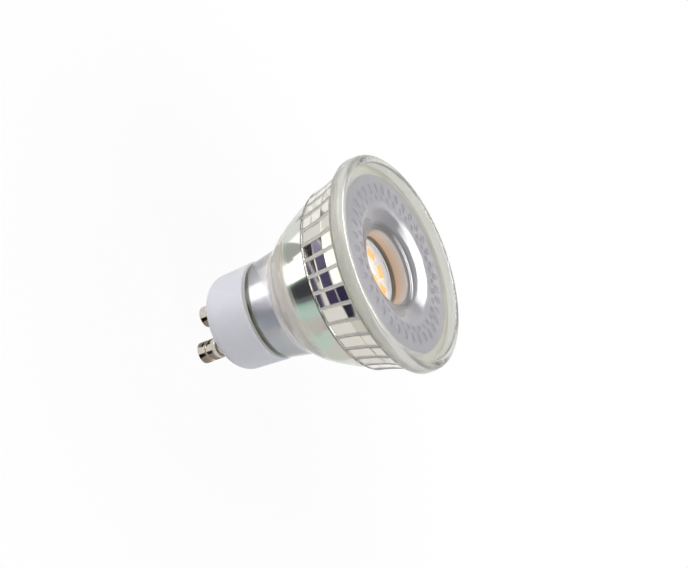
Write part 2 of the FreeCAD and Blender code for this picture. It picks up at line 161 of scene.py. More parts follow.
def smoothed(piece, sharp_deg=32):
    """Shades a piece smooth up to this angle between faces."""
    piece.data.shade_smooth()
    piece.data.set_sharp_from_angle(angle=math.radians(sharp_deg))


def fitted(piece, slot_name, *nodes):
    """Puts a finished piece on the lamp in place of its CAD nodes."""
    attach(piece, "root")
    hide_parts(*nodes)


# Bright nickel plate over turned brass: a warm mirror, with faint lathe lines round the stud
# that are drawn 0.25 mm apart so that they show, and soft handling haze in the roughness.
nickel, tree, output = finish_named("nickel plated brass, turned")
place = node(tree, "ShaderNodeTexCoord")
rings_at = node(tree, "ShaderNodeMapping", {"Vector": place.outputs["Object"], "Scale": (0.1, 0.1, 1)})
lathe = noise(tree, rings_at.outputs[0], 0.25)
haze = noise(tree, place.outputs["Object"], 1.2, 3)
tones = {"Factor": haze, "A": linear("#B9B0A6"), "B": linear("#DDD6CC")}
tone = node(tree, "ShaderNodeMix", tones, data_type="RGBA")
rough = node(tree, "ShaderNodeMapRange", {"Value": haze, "To Min": 0.10, "To Max": 0.24})
lines = node(tree, "ShaderNodeBump", {"Height": lathe, "Strength": 0.12, "Distance": 0.02 * MM})
shader = node(
    tree,
    "ShaderNodeBsdfPrincipled",
    {
        "Base Color": tone.outputs["Result"],
        "Metallic": 1.0,
        "Roughness": rough.outputs[0],
        "Normal": lines.outputs[0],
    },
)
tree.links.new(shader.outputs[0], output.inputs["Surface"])

CAP_FLOOR = 2.0
for number in (1, 2):
    pin_low, pin_high = span("contact_pin_%d" % number)
    pin_x = (pin_low.x + pin_high.x) / 2
    head_r = (pin_high.y - pin_low.y) / 2
    groove_r = head_r - 0.35
    neck_r = head_r * 0.6
    rivet_r = neck_r + 0.4
    tip = pin_low.z
    head_top = tip + 5.0
    rivet_top = CAP_FLOOR + 0.5
    pin = turned(
        "nickel_pin_%d" % number,
        eased(
            [
                (0, tip),
                (head_r, tip, 0.3),
                (head_r, tip + 2.1, 0.08),
                (groove_r, tip + 2.15, 0.06),
                (groove_r, tip + 2.85, 0.06),
                (head_r, tip + 2.9, 0.08),
                (head_r, head_top, 0.22),
                (neck_r, head_top, 0.2),
                (neck_r, CAP_FLOOR),
                (rivet_r, CAP_FLOOR),
                (rivet_r, rivet_top, 0.2),
                (0, rivet_top),
            ]
        ),
        turns=96,
        centre=(pin_x, 0),
    )
    pin.data.materials.append(nickel)
    smoothed(pin)
    fitted(pin, "nickel_plated_brass", "contact_pin_%d" % number)

# Cap
# A thick white cup moulded in PBT that carries the pins, cemented over the glass spigot.
# Its rear edge is well rounded, and a thin lip runs round its mouth.
cap_high = span("base_cap")[1]
cap_h = cap_high.z
lip_r = cap_high.x
cap_inside_r = lip_r - 1.3
cap = turned(
    "white_cap",
    eased(
        [
            (0, 0),
            (lip_r - 0.5, 0, 3.6),
            (lip_r - 0.06, cap_h - 0.9, 0.1),
            (lip_r, cap_h - 0.75, 0.1),
            (lip_r, cap_h, 0.28),
            (cap_inside_r, cap_h),
            (cap_inside_r, CAP_FLOOR),
            (0, CAP_FLOOR),
        ],
        steps=9,
    ),
    turns=192,
)

# White PBT straight from the mould: cool white, satin, slightly see-into, with fine spark
# texture drawn at 0.22 mm so that it shows, and a faint flow mottle a few millimetres wide.
pbt, tree, output = finish_named("white PBT, moulded satin")
place = node(tree, "ShaderNodeTexCoord")
grain = noise(tree, place.outputs["Object"], 0.22)
flow = noise(tree, place.outputs["Object"], 5, 3)
tones = {"Factor": flow, "A": linear("#E5E6EF"), "B": linear("#F0F1F8")}
tone = node(tree, "ShaderNodeMix", tones, data_type="RGBA")
rough = node(tree, "ShaderNodeMapRange", {"Value": grain, "To Min": 0.36, "To Max": 0.52})
skin = node(tree, "ShaderNodeBump", {"Height": grain, "Strength": 0.18, "Distance": 0.03 * MM})
shader = node(
    tree,
    "ShaderNodeBsdfPrincipled",
    {
        "Base Color": tone.outputs["Result"],
        "Roughness": rough.outputs[0],
        "IOR": 1.5,
        "Subsurface Weight": 0.12,
        "Subsurface Radius": (1.0, 0.9, 0.9),
        "Subsurface Scale": 0.8 * MM,
        "Normal": skin.outputs[0],
    },
)
tree.links.new(shader.outputs[0], output.inputs["Surface"])
cap.data.materials.append(pbt)
smoothed(cap)
fitted(cap, "white_pbt", "base_cap")

# Glass reflector
# One pressed piece of clear soda-lime glass: spigot, neck, rolled bead, cone, a band of
# 36 ribs under the rim, and a thick clear rim. Its inside is mirror coated by evaporation.
glass_low, glass_high = span("glass_reflector")
lens_low, lens_high = span("front_lens")
rim_r = glass_high.x
front_z = glass_high.z
wall = 1.0
band_wall = 0.4
band_step = 0.15
spigot_r = lip_r - 1.45
spigot_inside_r = lip_r - 2.7


def bow(start, end, sag, steps):
    """Points of a shallow arc after its start; sag is to the left of the chord."""
    chord = Vector(end) - Vector(start)
    side = Vector((-chord.y, chord.x)).normalized()
    return [
        tuple(Vector(start) + chord * (k / steps) + side * sag * 4 * (k / steps) * (1 - k / steps))
        for k in range(1, steps + 1)
    ]


def run(start, end):
    """Points of a straight stretch after its start, two of them near its ends so that it shades flat."""
    return [tuple(Vector(start).lerp(Vector(end), share)) for share in (0.04, 0.5, 0.96, 1.0)]


neck_low = (lip_r - 0.2, cap_h + 0.75)
neck_top = (lip_r + 0.95, cap_h + 7.1)
fillet_end = (13.60, cap_h + 9.30)
bead_end = (16.80, cap_h + 13.94)
cone_low = (17.17, cap_h + 14.32)
band_rear = (rim_r - 3.9, front_z - 12.8)
rim_rear = (rim_r - 0.35, front_z - 3.3)
seat_r = lens_high.x + 0.15
seat_z = lens_low.z + 5.2
outer = [(spigot_r, glass_low.z), (spigot_r, cap_h), (lip_r - 0.5, cap_h), neck_low]
outer += run(neck_low, neck_top)
outer += bow(neck_top, fillet_end, 0.2, 6)
outer += bow(fillet_end, bead_end, -0.3, 9)
outer += [cone_low]
outer += run(cone_low, (band_rear[0] - band_step, band_rear[1]))
band_start = len(outer)
rows = [(band_rear[0], band_rear[1] + 0.3)]
rows += [(21.72, front_z - 9.9), (22.62, front_z - 6.8), (23.8, front_z - 3.85)]
outer += [band_rear]
outer += rows
band_end = len(outer)
outer += bow(rows[-1], rim_rear, 0.05, 3)
rim_corners = [rim_rear, (rim_r, front_z - 2.95, 0.2), (rim_r, front_z, 1.3)]
rim_corners += [(seat_r, front_z, 0.39), (seat_r, seat_z)]
outer += eased(rim_corners)[1:-1]
outer += [(seat_r, seat_z), (seat_r - 1.6, seat_z)]
cone_top = (band_rear[0] - band_step - wall, band_rear[1])
inner = [(r - band_wall, z) for r, z in reversed(rows)]
inner += [(band_rear[0] - band_step - band_wall, band_rear[1] - 0.1)]
cone_foot = tuple(Vector(cone_low).lerp(Vector(cone_top) + Vector((wall, 0)), 0.25) - Vector((wall, 0)))
bead_foot = (fillet_end[0] - wall - 0.3, fillet_end[1] + 0.6)
neck_inner = (neck_top[0] - wall, neck_top[1] + 0.15)
inner += [tuple(Vector(cone_top).lerp(Vector(cone_foot), 0.08))]
inner += run(inner[-1], cone_foot)
inner += bow(cone_foot, bead_foot, 0.5, 9)
inner += bow(bead_foot, neck_inner, -0.15, 5)
inner += run(neck_inner, (neck_low[0] - wall + 0.18, neck_low[1] + 1.0))
coat_foot = len(outer) + len(inner) - 1
inner += [(spigot_inside_r, cap_h), (spigot_inside_r, glass_low.z)]
outline = outer + inner
groove_weight = [1.0 if band_start < i < band_end else 0.0 for i in range(len(outline))]
facet_weight = [
    1.0 if w or len(outer) <= i < len(outer) + len(rows) else 0.0 for i, w in enumerate(groove_weight)
]
joint_weight = [1.0 if i <= outer.index(neck_low) or i >= coat_foot else 0.0 for i in range(len(outline))]
coat_weight = [1.0 if i >= len(outer) - 1 else 0.0 for i in range(len(outline))]
RIBS = 36
STEPS_A_RIB = 24
reflector = turned(
    "pressed_glass",
    outline,
    turns=RIBS * STEPS_A_RIB,
    marks={"groove": groove_weight, "facet": facet_weight, "inside": coat_weight, "joint": joint_weight},
)


def geometry_tree(name, inputs):
    """A geometry tree with named inputs after its geometry; returns it with its two end nodes."""
    made = bpy.data.node_groups.new(name, "GeometryNodeTree")
    made.interface.new_socket("Geometry", in_out="INPUT", socket_type="NodeSocketGeometry")
    for key, kind in inputs.items():
        made.interface.new_socket(key, in_out="INPUT", socket_type="NodeSocket" + kind)
    made.interface.new_socket("Geometry", in_out="OUTPUT", socket_type="NodeSocketGeometry")
    return made, made.nodes.new("NodeGroupInput"), made.nodes.new("NodeGroupOutput")


def grown(piece, made, values):
    """Runs a geometry tree on a piece with these inputs and keeps the plain mesh."""
    modifier = piece.modifiers.new(made.name, "NODES")
    modifier.node_group = made
    for item in made.interface.items_tree:
        if item.in_out == "INPUT" and item.name in values:
            modifier[item.identifier] = values[item.name]
    bpy.context.view_layer.update()
    graph = bpy.context.evaluated_depsgraph_get()
    mesh = bpy.data.meshes.new_from_object(piece.evaluated_get(graph), depsgraph=graph)
    piece.modifiers.remove(modifier)
    piece.data = mesh


ALL_MARKED = 0.99


def round_axis(tree, count):
    """Of a point: where it is across the axis, its radius, the pattern's step, and its share of steps."""
    spot = node(tree, "GeometryNodeInputPosition")
    xyz = node(tree, "ShaderNodeSeparateXYZ", {0: spot.outputs[0]})
    angle = node(tree, "ShaderNodeMath", {0: xyz.outputs["Y"], 1: xyz.outputs["X"]}, operation="ARCTAN2")
    step = node(tree, "ShaderNodeMath", {0: 2 * math.pi, 1: count}, operation="DIVIDE")
    share = node(tree, "ShaderNodeMath", {0: angle.outputs[0], 1: step.outputs[0]}, operation="DIVIDE")
    flat = node(tree, "ShaderNodeVectorMath", {0: spot.outputs[0], 1: (1, 1, 0)}, operation="MULTIPLY")
    radius = node(tree, "ShaderNodeVectorMath", {0: flat.outputs[0]}, operation="LENGTH")
    return flat, radius, step, share


def painted(tree, geometry, whole, marked):
    """Sets one material on all of a geometry, then others on faces whose points all carry a mark."""
    shape = node(tree, "GeometryNodeRealizeInstances", {"Geometry": geometry})
    shape = node(tree, "GeometryNodeSetMaterial", {"Geometry": shape.outputs[0], "Material": whole})
    for mark, material in marked.items():
        weight = node(tree, "GeometryNodeInputNamedAttribute", {"Name": mark}, data_type="FLOAT")
        sides = {0: weight.outputs["Attribute"], 1: ALL_MARKED}
        chosen = node(tree, "FunctionNodeCompare", sides, operation="GREATER_THAN")
        given_to = {"Geometry": shape.outputs[0], "Selection": chosen.outputs[0], "Material": material}
        shape = node(tree, "GeometryNodeSetMaterial", given_to)
    return shape.outputs[0]


# Ribs: each groove is sunk between two ribs, and the face of each rib is pressed flat. How far a
# point is sunk is noted for the glass.
ribs, given, result = geometry_tree(
    "rib grooves",
    {
        "Ribs": "Float",
        "Groove Share": "Float",
        "Depth": "Float",
        "Glass": "Material",
        "Coating": "Material",
        "Cement": "Material",
    },
)
flat, radius, step, share = round_axis(ribs, given.outputs["Ribs"])
nearest = node(ribs, "ShaderNodeMath", {0: share.outputs[0]}, operation="ROUND")
offset = node(ribs, "ShaderNodeMath", {0: share.outputs[0], 1: nearest.outputs[0]}, operation="SUBTRACT")
away = node(ribs, "ShaderNodeMath", {0: offset.outputs[0]}, operation="ABSOLUTE")
half = node(ribs, "ShaderNodeMath", {0: given.outputs["Groove Share"], 1: 0.5}, operation="MULTIPLY")
foot = node(ribs, "ShaderNodeMath", {0: half.outputs[0], 1: 0.45}, operation="MULTIPLY")
sunk = node(
    ribs,
    "ShaderNodeMapRange",
    {"Value": away.outputs[0], "From Min": half.outputs[0], "From Max": foot.outputs[0]},
    interpolation_type="SMOOTHSTEP",
)
depth = node(ribs, "ShaderNodeMath", {0: sunk.outputs[0], 1: given.outputs["Depth"]}, operation="MULTIPLY")
flank = node(ribs, "ShaderNodeMath", {0: 0.5, 1: half.outputs[0]}, operation="SUBTRACT")
flank_angle = node(ribs, "ShaderNodeMath", {0: flank.outputs[0], 1: step.outputs[0]}, operation="MULTIPLY")
middle = node(ribs, "ShaderNodeMath", {0: 0.5, 1: away.outputs[0]}, operation="SUBTRACT")
middle_angle = node(ribs, "ShaderNodeMath", {0: middle.outputs[0], 1: step.outputs[0]}, operation="MULTIPLY")
chord = node(ribs, "ShaderNodeMath", {0: flank_angle.outputs[0]}, operation="COSINE")
slant = node(ribs, "ShaderNodeMath", {0: middle_angle.outputs[0]}, operation="COSINE")
ratio = node(ribs, "ShaderNodeMath", {0: chord.outputs[0], 1: slant.outputs[0]}, operation="DIVIDE")
short = node(ribs, "ShaderNodeMath", {0: 1.0, 1: ratio.outputs[0]}, operation="SUBTRACT", use_clamp=True)
facet = node(ribs, "ShaderNodeMath", {0: short.outputs[0], 1: radius.outputs["Value"]}, operation="MULTIPLY")
in_groove = node(ribs, "GeometryNodeInputNamedAttribute", {"Name": "groove"}, data_type="FLOAT")
in_facet = node(ribs, "GeometryNodeInputNamedAttribute", {"Name": "facet"}, data_type="FLOAT")
sunk_by = node(
    ribs, "ShaderNodeMath", {0: depth.outputs[0], 1: in_groove.outputs["Attribute"]}, operation="MULTIPLY"
)
flat_by = node(
    ribs, "ShaderNodeMath", {0: facet.outputs[0], 1: in_facet.outputs["Attribute"]}, operation="MULTIPLY"
)
inward = node(ribs, "ShaderNodeMath", {0: sunk_by.outputs[0], 1: flat_by.outputs[0]}, operation="ADD")
outward = node(ribs, "ShaderNodeVectorMath", {0: flat.outputs[0]}, operation="NORMALIZE")
back = node(ribs, "ShaderNodeMath", {0: inward.outputs[0], 1: -1.0}, operation="MULTIPLY")
shift = node(
    ribs, "ShaderNodeVectorMath", {0: outward.outputs[0], "Scale": back.outputs[0]}, operation="SCALE"
)
moved = node(
    ribs, "GeometryNodeSetPosition", {"Geometry": given.outputs["Geometry"], "Offset": shift.outputs[0]}
)
sunk_share = node(
    ribs, "ShaderNodeMath", {0: sunk.outputs[0], 1: in_groove.outputs["Attribute"]}, operation="MULTIPLY"
)
noted = node(
    ribs,
    "GeometryNodeStoreNamedAttribute",
    {"Geometry": moved.outputs[0], "Name": "sunk", "Value": sunk_share.outputs[0]},
    data_type="FLOAT",
    domain="POINT",
)
finished = painted(
    ribs,
    noted.outputs[0],
    given.outputs["Glass"],
    {"inside": given.outputs["Coating"], "joint": given.outputs["Cement"]},
)
ribs.links.new(finished, result.inputs[0])

# Pressed soda-lime glass: clear, a little green where it is thick, fire polished with a
# faint waviness a few millimetres long left by the press. The rim is softer, and the grooves
# between the ribs are dull and a little milky.
GROOVE_ROUGH = 0.45
GROOVE_MILK = 0.5
glass, tree, output = finish_named("pressed soda-lime glass")
place = node(tree, "ShaderNodeTexCoord")
wave = noise(tree, place.outputs["Object"], 4, 1)
ripple = node(tree, "ShaderNodeBump", {"Height": wave, "Strength": 0.1, "Distance": 0.05 * MM})
height = node(tree, "ShaderNodeSeparateXYZ", {0: place.outputs["Object"]})
near_rim = node(
    tree,
    "ShaderNodeMapRange",
    {"Value": height.outputs["Z"], "From Min": (front_z - 4.2) * MM, "From Max": (front_z - 3.2) * MM},
)
rough = node(tree, "ShaderNodeMapRange", {"Value": near_rim.outputs[0], "To Min": 0.02, "To Max": 0.2})
in_sunk = node(tree, "ShaderNodeAttribute", attribute_name="sunk")
dull = node(tree, "ShaderNodeMath", {0: in_sunk.outputs["Fac"], 1: 4.0}, operation="MULTIPLY", use_clamp=True)
dulled = node(tree, "ShaderNodeMath", {0: dull.outputs[0], 1: GROOVE_ROUGH}, operation="MULTIPLY")
polish = node(tree, "ShaderNodeMath", {0: rough.outputs[0], 1: dulled.outputs[0]}, operation="MAXIMUM")
clear = node(tree, "ShaderNodeMapRange", {"Value": near_rim.outputs[0], "To Min": 1.0, "To Max": 0.82})
milky = node(
    tree,
    "ShaderNodeMath",
    {0: dull.outputs[0], 1: -GROOVE_MILK, 2: clear.outputs[0]},
    operation="MULTIPLY_ADD",
)
tones = {"Factor": near_rim.outputs[0], "A": linear("#F3F1EA"), "B": linear("#E4E4DF")}
tone = node(tree, "ShaderNodeMix", tones, data_type="RGBA")
shader = node(
    tree,
    "ShaderNodeBsdfPrincipled",
    {
        "Base Color": tone.outputs["Result"],
        "Roughness": polish.outputs[0],
        "IOR": 1.52,
        "Transmission Weight": milky.outputs[0],
        "Normal": ripple.outputs[0],
    },
)
depth_tint = node(tree, "ShaderNodeVolumeAbsorption", {"Color": linear("#E2E5D4"), "Density": 11.0})
tree.links.new(shader.outputs[0], output.inputs["Surface"])
tree.links.new(depth_tint.outputs[0], output.inputs["Volume"])

# Evaporated mirror coating seen through the glass: silver, with the thin-film tints that a
# layered coating takes as it thickens from the neck (lilac) over the cone (teal) to the band.
# On the bead it is thin: a fifth of it mirrors, and the rest scatters.
coating, tree, output = finish_named("evaporated mirror coating")
place = node(tree, "ShaderNodeTexCoord")
height = node(tree, "ShaderNodeSeparateXYZ", {0: place.outputs["Object"]})
cloud = noise(tree, place.outputs["Object"], 9, 1)
level = node(
    tree,
    "ShaderNodeMapRange",
    {"Value": height.outputs["Z"], "From Min": cap_h * MM, "From Max": front_z * MM},
)
drift = node(tree, "ShaderNodeMath", {0: cloud, 1: 0.24, 2: -0.12}, operation="MULTIPLY_ADD")
film = node(tree, "ShaderNodeMath", {0: level.outputs[0], 1: drift.outputs[0]}, operation="ADD")
tint = node(tree, "ShaderNodeValToRGB", {"Fac": film.outputs[0]})
stops = tint.color_ramp.elements
stops[0].position, stops[0].color = 0.0, linear("#C9CAD8")
stops[1].position, stops[1].color = 1.0, linear("#E4E2DC")
film_tints = ((0.20, "#D0D0DC"), (0.30, "#F8F3F0"), (0.40, "#EDEAE6"), (0.46, "#D6E3DC"))
film_tints += ((0.54, "#DDE1DE"), (0.62, "#E0DEDB"))
for at, code in film_tints:
    stops.new(at).color = linear(code)
rough = node(
    tree,
    "ShaderNodeMapRange",
    {"Value": film.outputs[0], "From Min": 0.34, "From Max": 0.50, "To Min": 0.26, "To Max": 0.04},
)
thin = node(tree, "ShaderNodeValToRGB", {"Fac": level.outputs[0]})
thin.color_ramp.elements[0].position, thin.color_ramp.elements[0].color = 0.2, (1, 1, 1, 1)
thin.color_ramp.elements[1].position, thin.color_ramp.elements[1].color = 0.46, (1, 1, 1, 1)
for at in (0.27, 0.38):
    thin.color_ramp.elements.new(at).color = (0.2, 0.2, 0.2, 1)
shader = node(
    tree,
    "ShaderNodeBsdfPrincipled",
    {"Base Color": tint.outputs["Color"], "Metallic": thin.outputs["Color"], "Roughness": rough.outputs[0]},
)
tree.links.new(shader.outputs[0], output.inputs["Surface"])


def surface(name, dark, light, grain_mm, rough_low, rough_high, metallic=0.0, relief_mm=0.01):
    """A mottled, slightly uneven finish: two tones, a grain size and a roughness range."""
    material, tree, output = finish_named(name)
    place = node(tree, "ShaderNodeTexCoord")
    grain = noise(tree, place.outputs["Object"], grain_mm, 3)
    tones = {"Factor": grain, "A": linear(dark), "B": linear(light)}
    tone = node(tree, "ShaderNodeMix", tones, data_type="RGBA")
    rough = node(tree, "ShaderNodeMapRange", {"Value": grain, "To Min": rough_low, "To Max": rough_high})
    relief = node(tree, "ShaderNodeBump", {"Height": grain, "Strength": 0.2, "Distance": relief_mm * MM})
    shader = node(
        tree,
        "ShaderNodeBsdfPrincipled",
        {
            "Base Color": tone.outputs["Result"],
            "Metallic": metallic,
            "Roughness": rough.outputs[0],
            "Normal": relief.outputs[0],
        },
    )
    tree.links.new(shader.outputs[0], output.inputs["Surface"])
    return material


# Lamp cement squeezed out between spigot and cap and behind the neck's foot: matt, grey-beige,
# with sandy grains 0.3 mm wide.
cement = surface("lamp cement, cured", "#C6C5BE", "#D8D7D0", 0.3, 0.75, 0.9)
grown(
    reflector,
    ribs,
    {
        "Ribs": float(RIBS),
        "Groove Share": 0.2,
        "Depth": 0.12 * MM,
        "Glass": glass,
        "Coating": coating,
        "Cement": cement,
    },
)
smoothed(reflector, sharp_deg=28)
on_facet = [weight.value > ALL_MARKED for weight in reflector.data.attributes["facet"].data]
for quad in reflector.data.polygons:
    quad.use_smooth = not all(on_facet[corner] for corner in quad.vertices)
fitted(reflector, "mirror_coated_glass", "glass_reflector")

# Light source
# A white aluminium-core board with two rings of mid-power LED packages soldered to it:
# white moulded frames, each filled with orange-yellow phosphor.
board_top = span("led_board")[1].z


def dressed(material, slot_name, *nodes):
    """Gives CAD nodes that stay in view their material; the slot name is not used."""
    for name in nodes:
        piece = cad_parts[name]
        piece.data.materials.clear()
        piece.data.materials.append(material)


solder_mask = surface("white solder mask, cured", "#F6F5F2", "#FCFBF9", 0.6, 0.30, 0.45)
dressed(solder_mask, "white_solder_mask", "led_board")

chip_long, chip_wide, chip_t = 3.5, 2.8, span("led_outer_1")[1].z - board_top
package_mesh = bpy.data.meshes.new("led_package")
package = bmesh.new()
bmesh.ops.create_cube(package, size=1.0)
bmesh.ops.scale(package, vec=(chip_wide * MM, chip_long * MM, chip_t * MM), verts=package.verts)
bmesh.ops.bevel(package, geom=package.edges[:], offset=0.08 * MM, segments=2, affect="EDGES")
window = package.faces.layers.float.new("window")
crown = max(package.faces, key=lambda f: f.calc_center_median().z * 1e6 + f.calc_area())
bmesh.ops.inset_region(package, faces=[crown], thickness=0.12 * MM)
bmesh.ops.inset_region(package, faces=[crown], thickness=0.08 * MM, depth=-0.10 * MM)
crown[window] = 1.0
bmesh.ops.translate(package, vec=(0, 0, chip_t * MM / 2), verts=package.verts)
package.to_mesh(package_mesh)
package.free()

led_ring, given, result = geometry_tree(
    "led ring",
    {
        "Count": "Int",
        "Ring Radius": "Float",
        "First Angle": "Float",
        "Height": "Float",
        "Package": "Material",
        "Phosphor": "Material",
    },
)
number = node(led_ring, "GeometryNodeInputIndex")
step = node(led_ring, "ShaderNodeMath", {0: 2 * math.pi, 1: given.outputs["Count"]}, operation="DIVIDE")
turn = node(
    led_ring,
    "ShaderNodeMath",
    {0: number.outputs[0], 1: step.outputs[0], 2: given.outputs["First Angle"]},
    operation="MULTIPLY_ADD",
)
x = node(led_ring, "ShaderNodeMath", {0: turn.outputs[0]}, operation="COSINE")
y = node(led_ring, "ShaderNodeMath", {0: turn.outputs[0]}, operation="SINE")
out_x = node(
    led_ring, "ShaderNodeMath", {0: x.outputs[0], 1: given.outputs["Ring Radius"]}, operation="MULTIPLY"
)
out_y = node(
    led_ring, "ShaderNodeMath", {0: y.outputs[0], 1: given.outputs["Ring Radius"]}, operation="MULTIPLY"
)
spot = node(
    led_ring,
    "ShaderNodeCombineXYZ",
    {"X": out_x.outputs[0], "Y": out_y.outputs[0], "Z": given.outputs["Height"]},
)
places = node(led_ring, "GeometryNodePoints", {"Count": given.outputs["Count"], "Position": spot.outputs[0]})
facing = node(led_ring, "ShaderNodeCombineXYZ", {"Z": turn.outputs[0]})
facing_turn = node(led_ring, "FunctionNodeEulerToRotation", {0: facing.outputs[0]})
set_out = node(
    led_ring,
    "GeometryNodeInstanceOnPoints",
    {"Points": places.outputs[0], "Instance": given.outputs["Geometry"], "Rotation": facing_turn.outputs[0]},
)
finished = painted(
    led_ring, set_out.outputs[0], given.outputs["Package"], {"window": given.outputs["Phosphor"]}
)
led_ring.links.new(finished, result.inputs[0])

# LED package: matt white moulded frame. Phosphor: translucent silicone full of orange-yellow
# grains, drawn 0.15 mm wide so that they show.
led_frame = surface("white LED moulding", "#EFEDE7", "#FAF8F4", 0.4, 0.35, 0.5)
phosphor = surface("orange phosphor in silicone", "#FFAC3A", "#FFC870", 0.15, 0.25, 0.4, relief_mm=0.02)
for ring_name, count in (("outer", 8), ("inner", 3)):
    chip_low, chip_high = span("led_%s_1" % ring_name)
    centre = (chip_low + chip_high) / 2
    leds = bpy.data.objects.new("led_packages_" + ring_name, package_mesh.copy())
    bpy.context.scene.collection.objects.link(leds)
    grown(
        leds,
        led_ring,
        {
            "Count": count,
            "Ring Radius": math.hypot(centre.x, centre.y) * MM,
            "First Angle": math.atan2(centre.y, centre.x),
            "Height": board_top * MM,
            "Package": led_frame,
            "Phosphor": phosphor,
        },
    )
    smoothed(leds)
    fitted(leds, "led_phosphor", *["led_%s_%d" % (ring_name, i + 1) for i in range(count)])

# Front lens
# One clear polycarbonate moulding: a flat ring with two rows of pressed dimples, a rounded
# mouth, and a round throat over the LEDs. Its rear is finely frosted, and it is bonded on its rim.
face_z = lens_high.z
lens_r = lens_high.x
field_r = lens_r - 2.2
flange_z = face_z - 0.4
plate_z = face_z - 1.7
flange_r = field_r + 0.25
chamfer = 0.15
throat_floor = (8.3, face_z - 6.7)
throat_top = (8.6, face_z - 2.8)
lip = (9.6, face_z - 2.1)
dish_edge = (14.4, face_z)
throat_foot = (throat_floor[0], throat_floor[1] + chamfer)
front = [(0, throat_floor[1]), (throat_floor[0] - chamfer, throat_floor[1]), throat_foot]
front += run(throat_foot, throat_top)
wall_points = front[2:]
front += bow(throat_top, lip, 0.2, 10)
front += bow(lip, dish_edge, 0.2, 14)
ring_step = 0.12
field_rings = int((field_r - dish_edge[0]) / ring_step)
front += bow(dish_edge, (field_r, face_z), 0.0, field_rings)
front += [(flange_r, flange_z), (lens_r - chamfer, flange_z), (lens_r, flange_z - chamfer)]
boss_top_r, boss_low_r = lip[0] + 3.8, 9.7
rear = [(lens_r, plate_z), (boss_top_r, plate_z), (boss_low_r, lens_low.z), (0, lens_low.z)]
outline = front + rear
on_face = [1.0 if p in front and dish_edge[0] < p[0] < field_r - 0.2 else 0.0 for p in outline]
behind = [1.0 if p in rear[:3] else 0.0 for p in outline]
at_throat = [1.0 if p in wall_points else 0.0 for p in outline]
LENS_STEPS = 720
lens_marks = {"face": on_face, "rear": behind, "throat": at_throat}
lens = turned("clear_lens", outline, LENS_STEPS, marks=lens_marks)

dimples, given, result = geometry_tree(
    "pressed dimples",
    {
        "Count": "Float",
        "Row Radius": "Float",
        "First Share": "Float",
        "Half Width": "Float",
        "Half Length": "Float",
        "Depth": "Float",
        "Polished": "Material",
        "Frosted": "Material",
        "Throat": "Material",
    },
)
_, radius, step, share = round_axis(dimples, given.outputs["Count"])
turned_share = node(
    dimples, "ShaderNodeMath", {0: share.outputs[0], 1: given.outputs["First Share"]}, operation="SUBTRACT"
)
nearest = node(dimples, "ShaderNodeMath", {0: turned_share.outputs[0]}, operation="ROUND")
offset = node(
    dimples, "ShaderNodeMath", {0: turned_share.outputs[0], 1: nearest.outputs[0]}, operation="SUBTRACT"
)
across = node(dimples, "ShaderNodeMath", {0: offset.outputs[0], 1: step.outputs[0]}, operation="MULTIPLY")
arc = node(
    dimples, "ShaderNodeMath", {0: across.outputs[0], 1: given.outputs["Row Radius"]}, operation="MULTIPLY"
)
along = node(
    dimples,
    "ShaderNodeMath",
    {0: radius.outputs["Value"], 1: given.outputs["Row Radius"]},
    operation="SUBTRACT",
)
wide = node(
    dimples, "ShaderNodeMath", {0: arc.outputs[0], 1: given.outputs["Half Width"]}, operation="DIVIDE"
)
long = node(
    dimples, "ShaderNodeMath", {0: along.outputs[0], 1: given.outputs["Half Length"]}, operation="DIVIDE"
)
gap = node(dimples, "ShaderNodeCombineXYZ", {"X": wide.outputs[0], "Y": long.outputs[0]})
distance = node(dimples, "ShaderNodeVectorMath", {0: gap.outputs[0]}, operation="LENGTH")
pit = node(
    dimples, "ShaderNodeMapRange", {"Value": distance.outputs["Value"], "From Min": 1.0, "From Max": 0.0}
)
curve = node(dimples, "ShaderNodeMath", {0: pit.outputs[0], 1: 0.8}, operation="POWER")
sink = node(dimples, "ShaderNodeMath", {0: curve.outputs[0], 1: given.outputs["Depth"]}, operation="MULTIPLY")
face = node(dimples, "GeometryNodeInputNamedAttribute", {"Name": "face"}, data_type="FLOAT")
held = node(
    dimples, "ShaderNodeMath", {0: sink.outputs[0], 1: face.outputs["Attribute"]}, operation="MULTIPLY"
)
down = node(dimples, "ShaderNodeMath", {0: held.outputs[0], 1: -1.0}, operation="MULTIPLY")
shift = node(dimples, "ShaderNodeCombineXYZ", {"Z": down.outputs[0]})
moved = node(
    dimples, "GeometryNodeSetPosition", {"Geometry": given.outputs["Geometry"], "Offset": shift.outputs[0]}
)
# How deep each point is pressed is stored, and the lens resin paints shade from it round the dimples.
before = node(dimples, "GeometryNodeInputNamedAttribute", {"Name": "pressed"}, data_type="FLOAT")
here = node(
    dimples, "ShaderNodeMath", {0: curve.outputs[0], 1: face.outputs["Attribute"]}, operation="MULTIPLY"
)
deepest = node(
    dimples, "ShaderNodeMath", {0: here.outputs[0], 1: before.outputs["Attribute"]}, operation="MAXIMUM"
)
noted = node(
    dimples,
    "GeometryNodeStoreNamedAttribute",
    {"Geometry": moved.outputs[0], "Name": "pressed", "Value": deepest.outputs[0]},
    data_type="FLOAT",
    domain="POINT",
)
finished = painted(
    dimples,
    noted.outputs[0],
    given.outputs["Polished"],
    {"rear": given.outputs["Frosted"], "throat": given.outputs["Throat"]},
)
dimples.links.new(finished, result.inputs[0])
